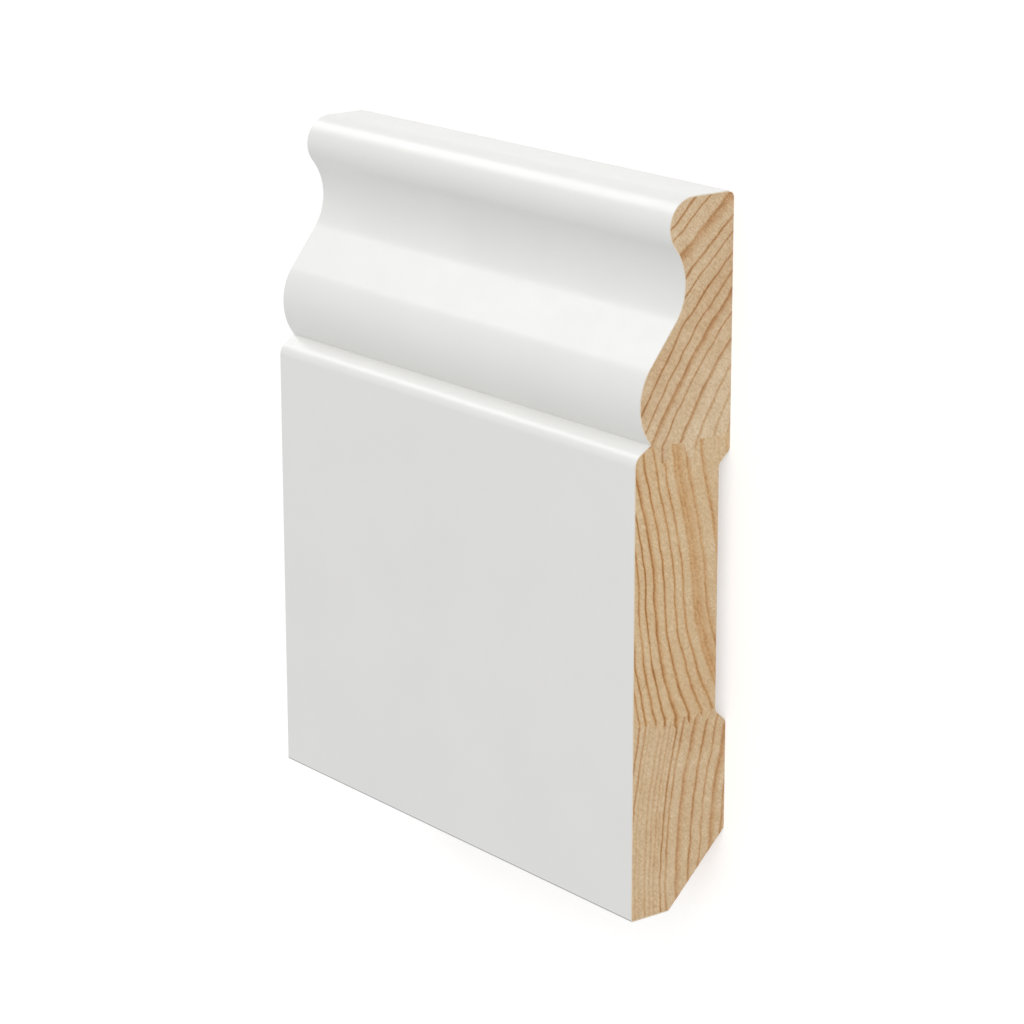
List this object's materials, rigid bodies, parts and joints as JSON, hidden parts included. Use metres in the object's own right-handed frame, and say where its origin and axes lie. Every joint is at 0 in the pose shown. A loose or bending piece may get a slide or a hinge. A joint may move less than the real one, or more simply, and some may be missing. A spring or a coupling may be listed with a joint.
{
  "type": "skirting board length",
  "caption": "Moulded softwood skirting board length, glued from edge-jointed staves, painted on its face and edges, with a relieved back and a chamfered floor edge.",
  "frame": {"origin": "on the back plane the board lies on, under the middle of its bounding box", "axes": "+X along the length, +Y from the floor edge to the moulded top edge, +Z from the back plane out through the painted front face"},
  "size_m": [0.1, 0.12, 0.02],
  "materials": {
    "top_stave_pine": "bare sawn pine, unfinished",
    "middle_stave_pine": "bare sawn pine, unfinished",
    "base_stave_pine": "bare sawn pine, unfinished",
    "white_paint": "smooth satin white paint film"
  },
  "bodies": {
    "root": {"top_stave": "top_stave_pine", "middle_stave": "middle_stave_pine", "base_stave": "base_stave_pine", "paint_coat": "white_paint"}
  },
  "joints": []
}
